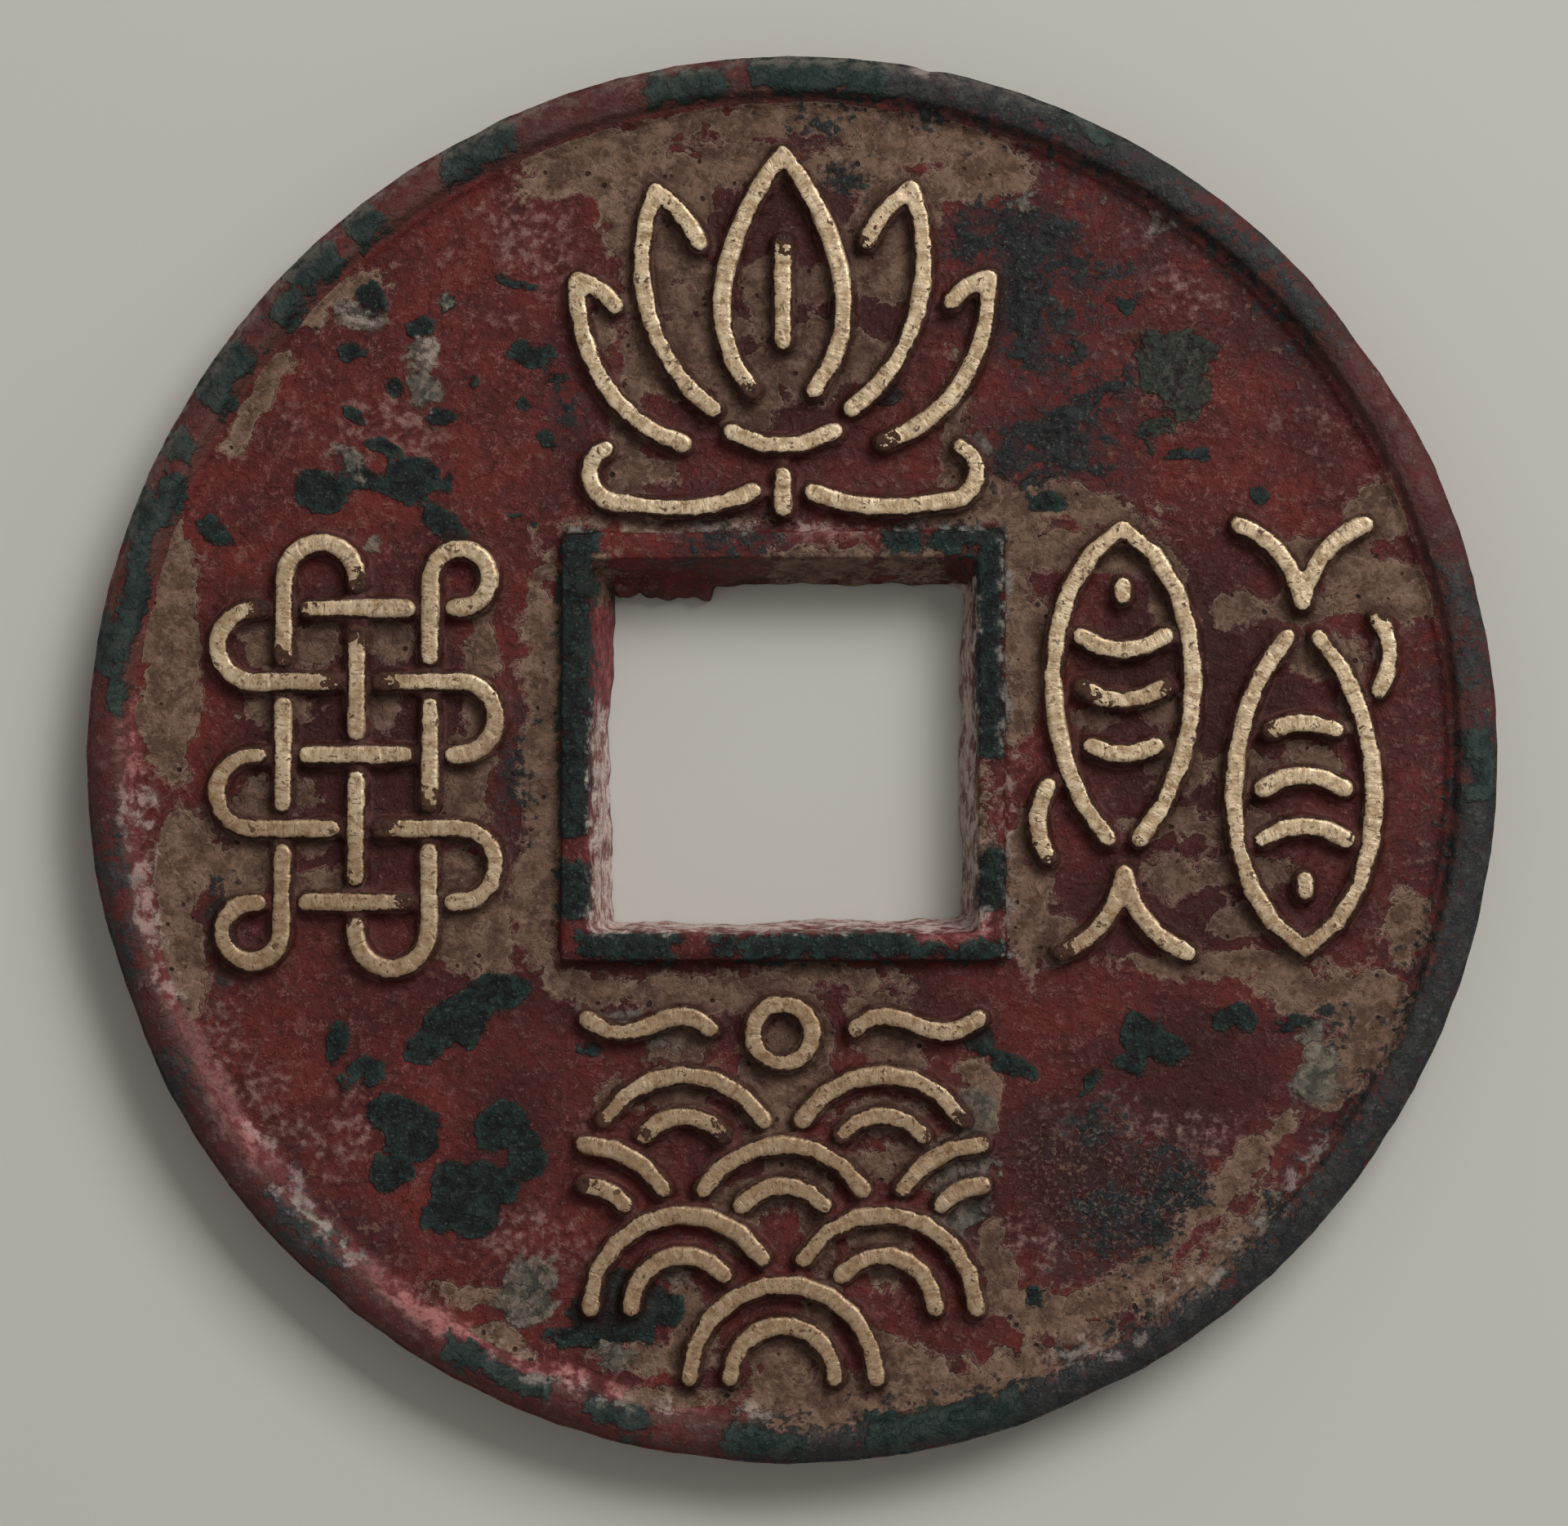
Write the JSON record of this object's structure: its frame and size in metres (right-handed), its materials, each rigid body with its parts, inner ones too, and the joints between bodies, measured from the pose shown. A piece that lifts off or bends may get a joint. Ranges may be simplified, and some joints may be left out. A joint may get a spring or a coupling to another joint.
{
  "type": "cash coin",
  "caption": "Round cast bronze coin with a square central hole, rimmed edges and raised ornament faced with gold strips.",
  "frame": {"origin": "centre of the disc on the plane of the reverse rim, on which the coin lies", "axes": "+Z out of the ornamented obverse, +Y towards the top of the obverse, +X to its right"},
  "size_m": [0.045, 0.045, 0.0028],
  "materials": {
    "patinated_bronze": "cast bronze under a worn red patina with dark green, slate grey and earth coloured patches",
    "gold": "soft hammered gold, scratched across and darkened in its pits"
  },
  "bodies": {
    "root": {"coin_body": "patinated_bronze", "lotus_centre_petal": "gold", "lotus_heart": "gold", "lotus_calyx": "gold", "lotus_stem": "gold", "lotus_inner_petal_left": "gold", "lotus_inner_petal_right": "gold", "lotus_outer_petal_left": "gold", "lotus_outer_petal_right": "gold", "lotus_leaf_left": "gold", "lotus_leaf_right": "gold", "rising_fish_body": "gold", "rising_fish_tail": "gold", "rising_fish_eye": "gold", "rising_fish_gill": "gold", "rising_fish_upper_scale": "gold", "rising_fish_lower_scale": "gold", "rising_fish_fin": "gold", "diving_fish_body": "gold", "diving_fish_tail": "gold", "diving_fish_eye": "gold", "diving_fish_gill": "gold", "diving_fish_upper_scale": "gold", "diving_fish_lower_scale": "gold", "diving_fish_fin": "gold", "wave_second_crest": "gold", "wave_second_trough": "gold", "wave_fourth_crest": "gold", "wave_fourth_trough": "gold", "wave_sun": "gold", "wave_mist_left": "gold", "wave_mist_right": "gold", "wave_first_crest_left": "gold", "wave_first_crest_right": "gold", "wave_first_trough_left": "gold", "wave_first_trough_right": "gold", "wave_side_crest_left": "gold", "wave_side_crest_right": "gold", "wave_side_trough_left": "gold", "wave_side_trough_right": "gold", "wave_third_crest_left": "gold", "wave_third_crest_right": "gold", "wave_third_trough_left": "gold", "wave_third_trough_right": "gold", "knot_strand_1": "gold", "knot_strand_2": "gold", "knot_strand_3": "gold", "knot_strand_4": "gold", "knot_strand_5": "gold", "knot_strand_6": "gold", "knot_strand_7": "gold", "knot_strand_8": "gold", "knot_strand_9": "gold", "knot_strand_10": "gold", "knot_strand_11": "gold", "knot_strand_12": "gold", "knot_strand_13": "gold", "knot_strand_14": "gold", "knot_strand_15": "gold"}
  },
  "joints": []
}
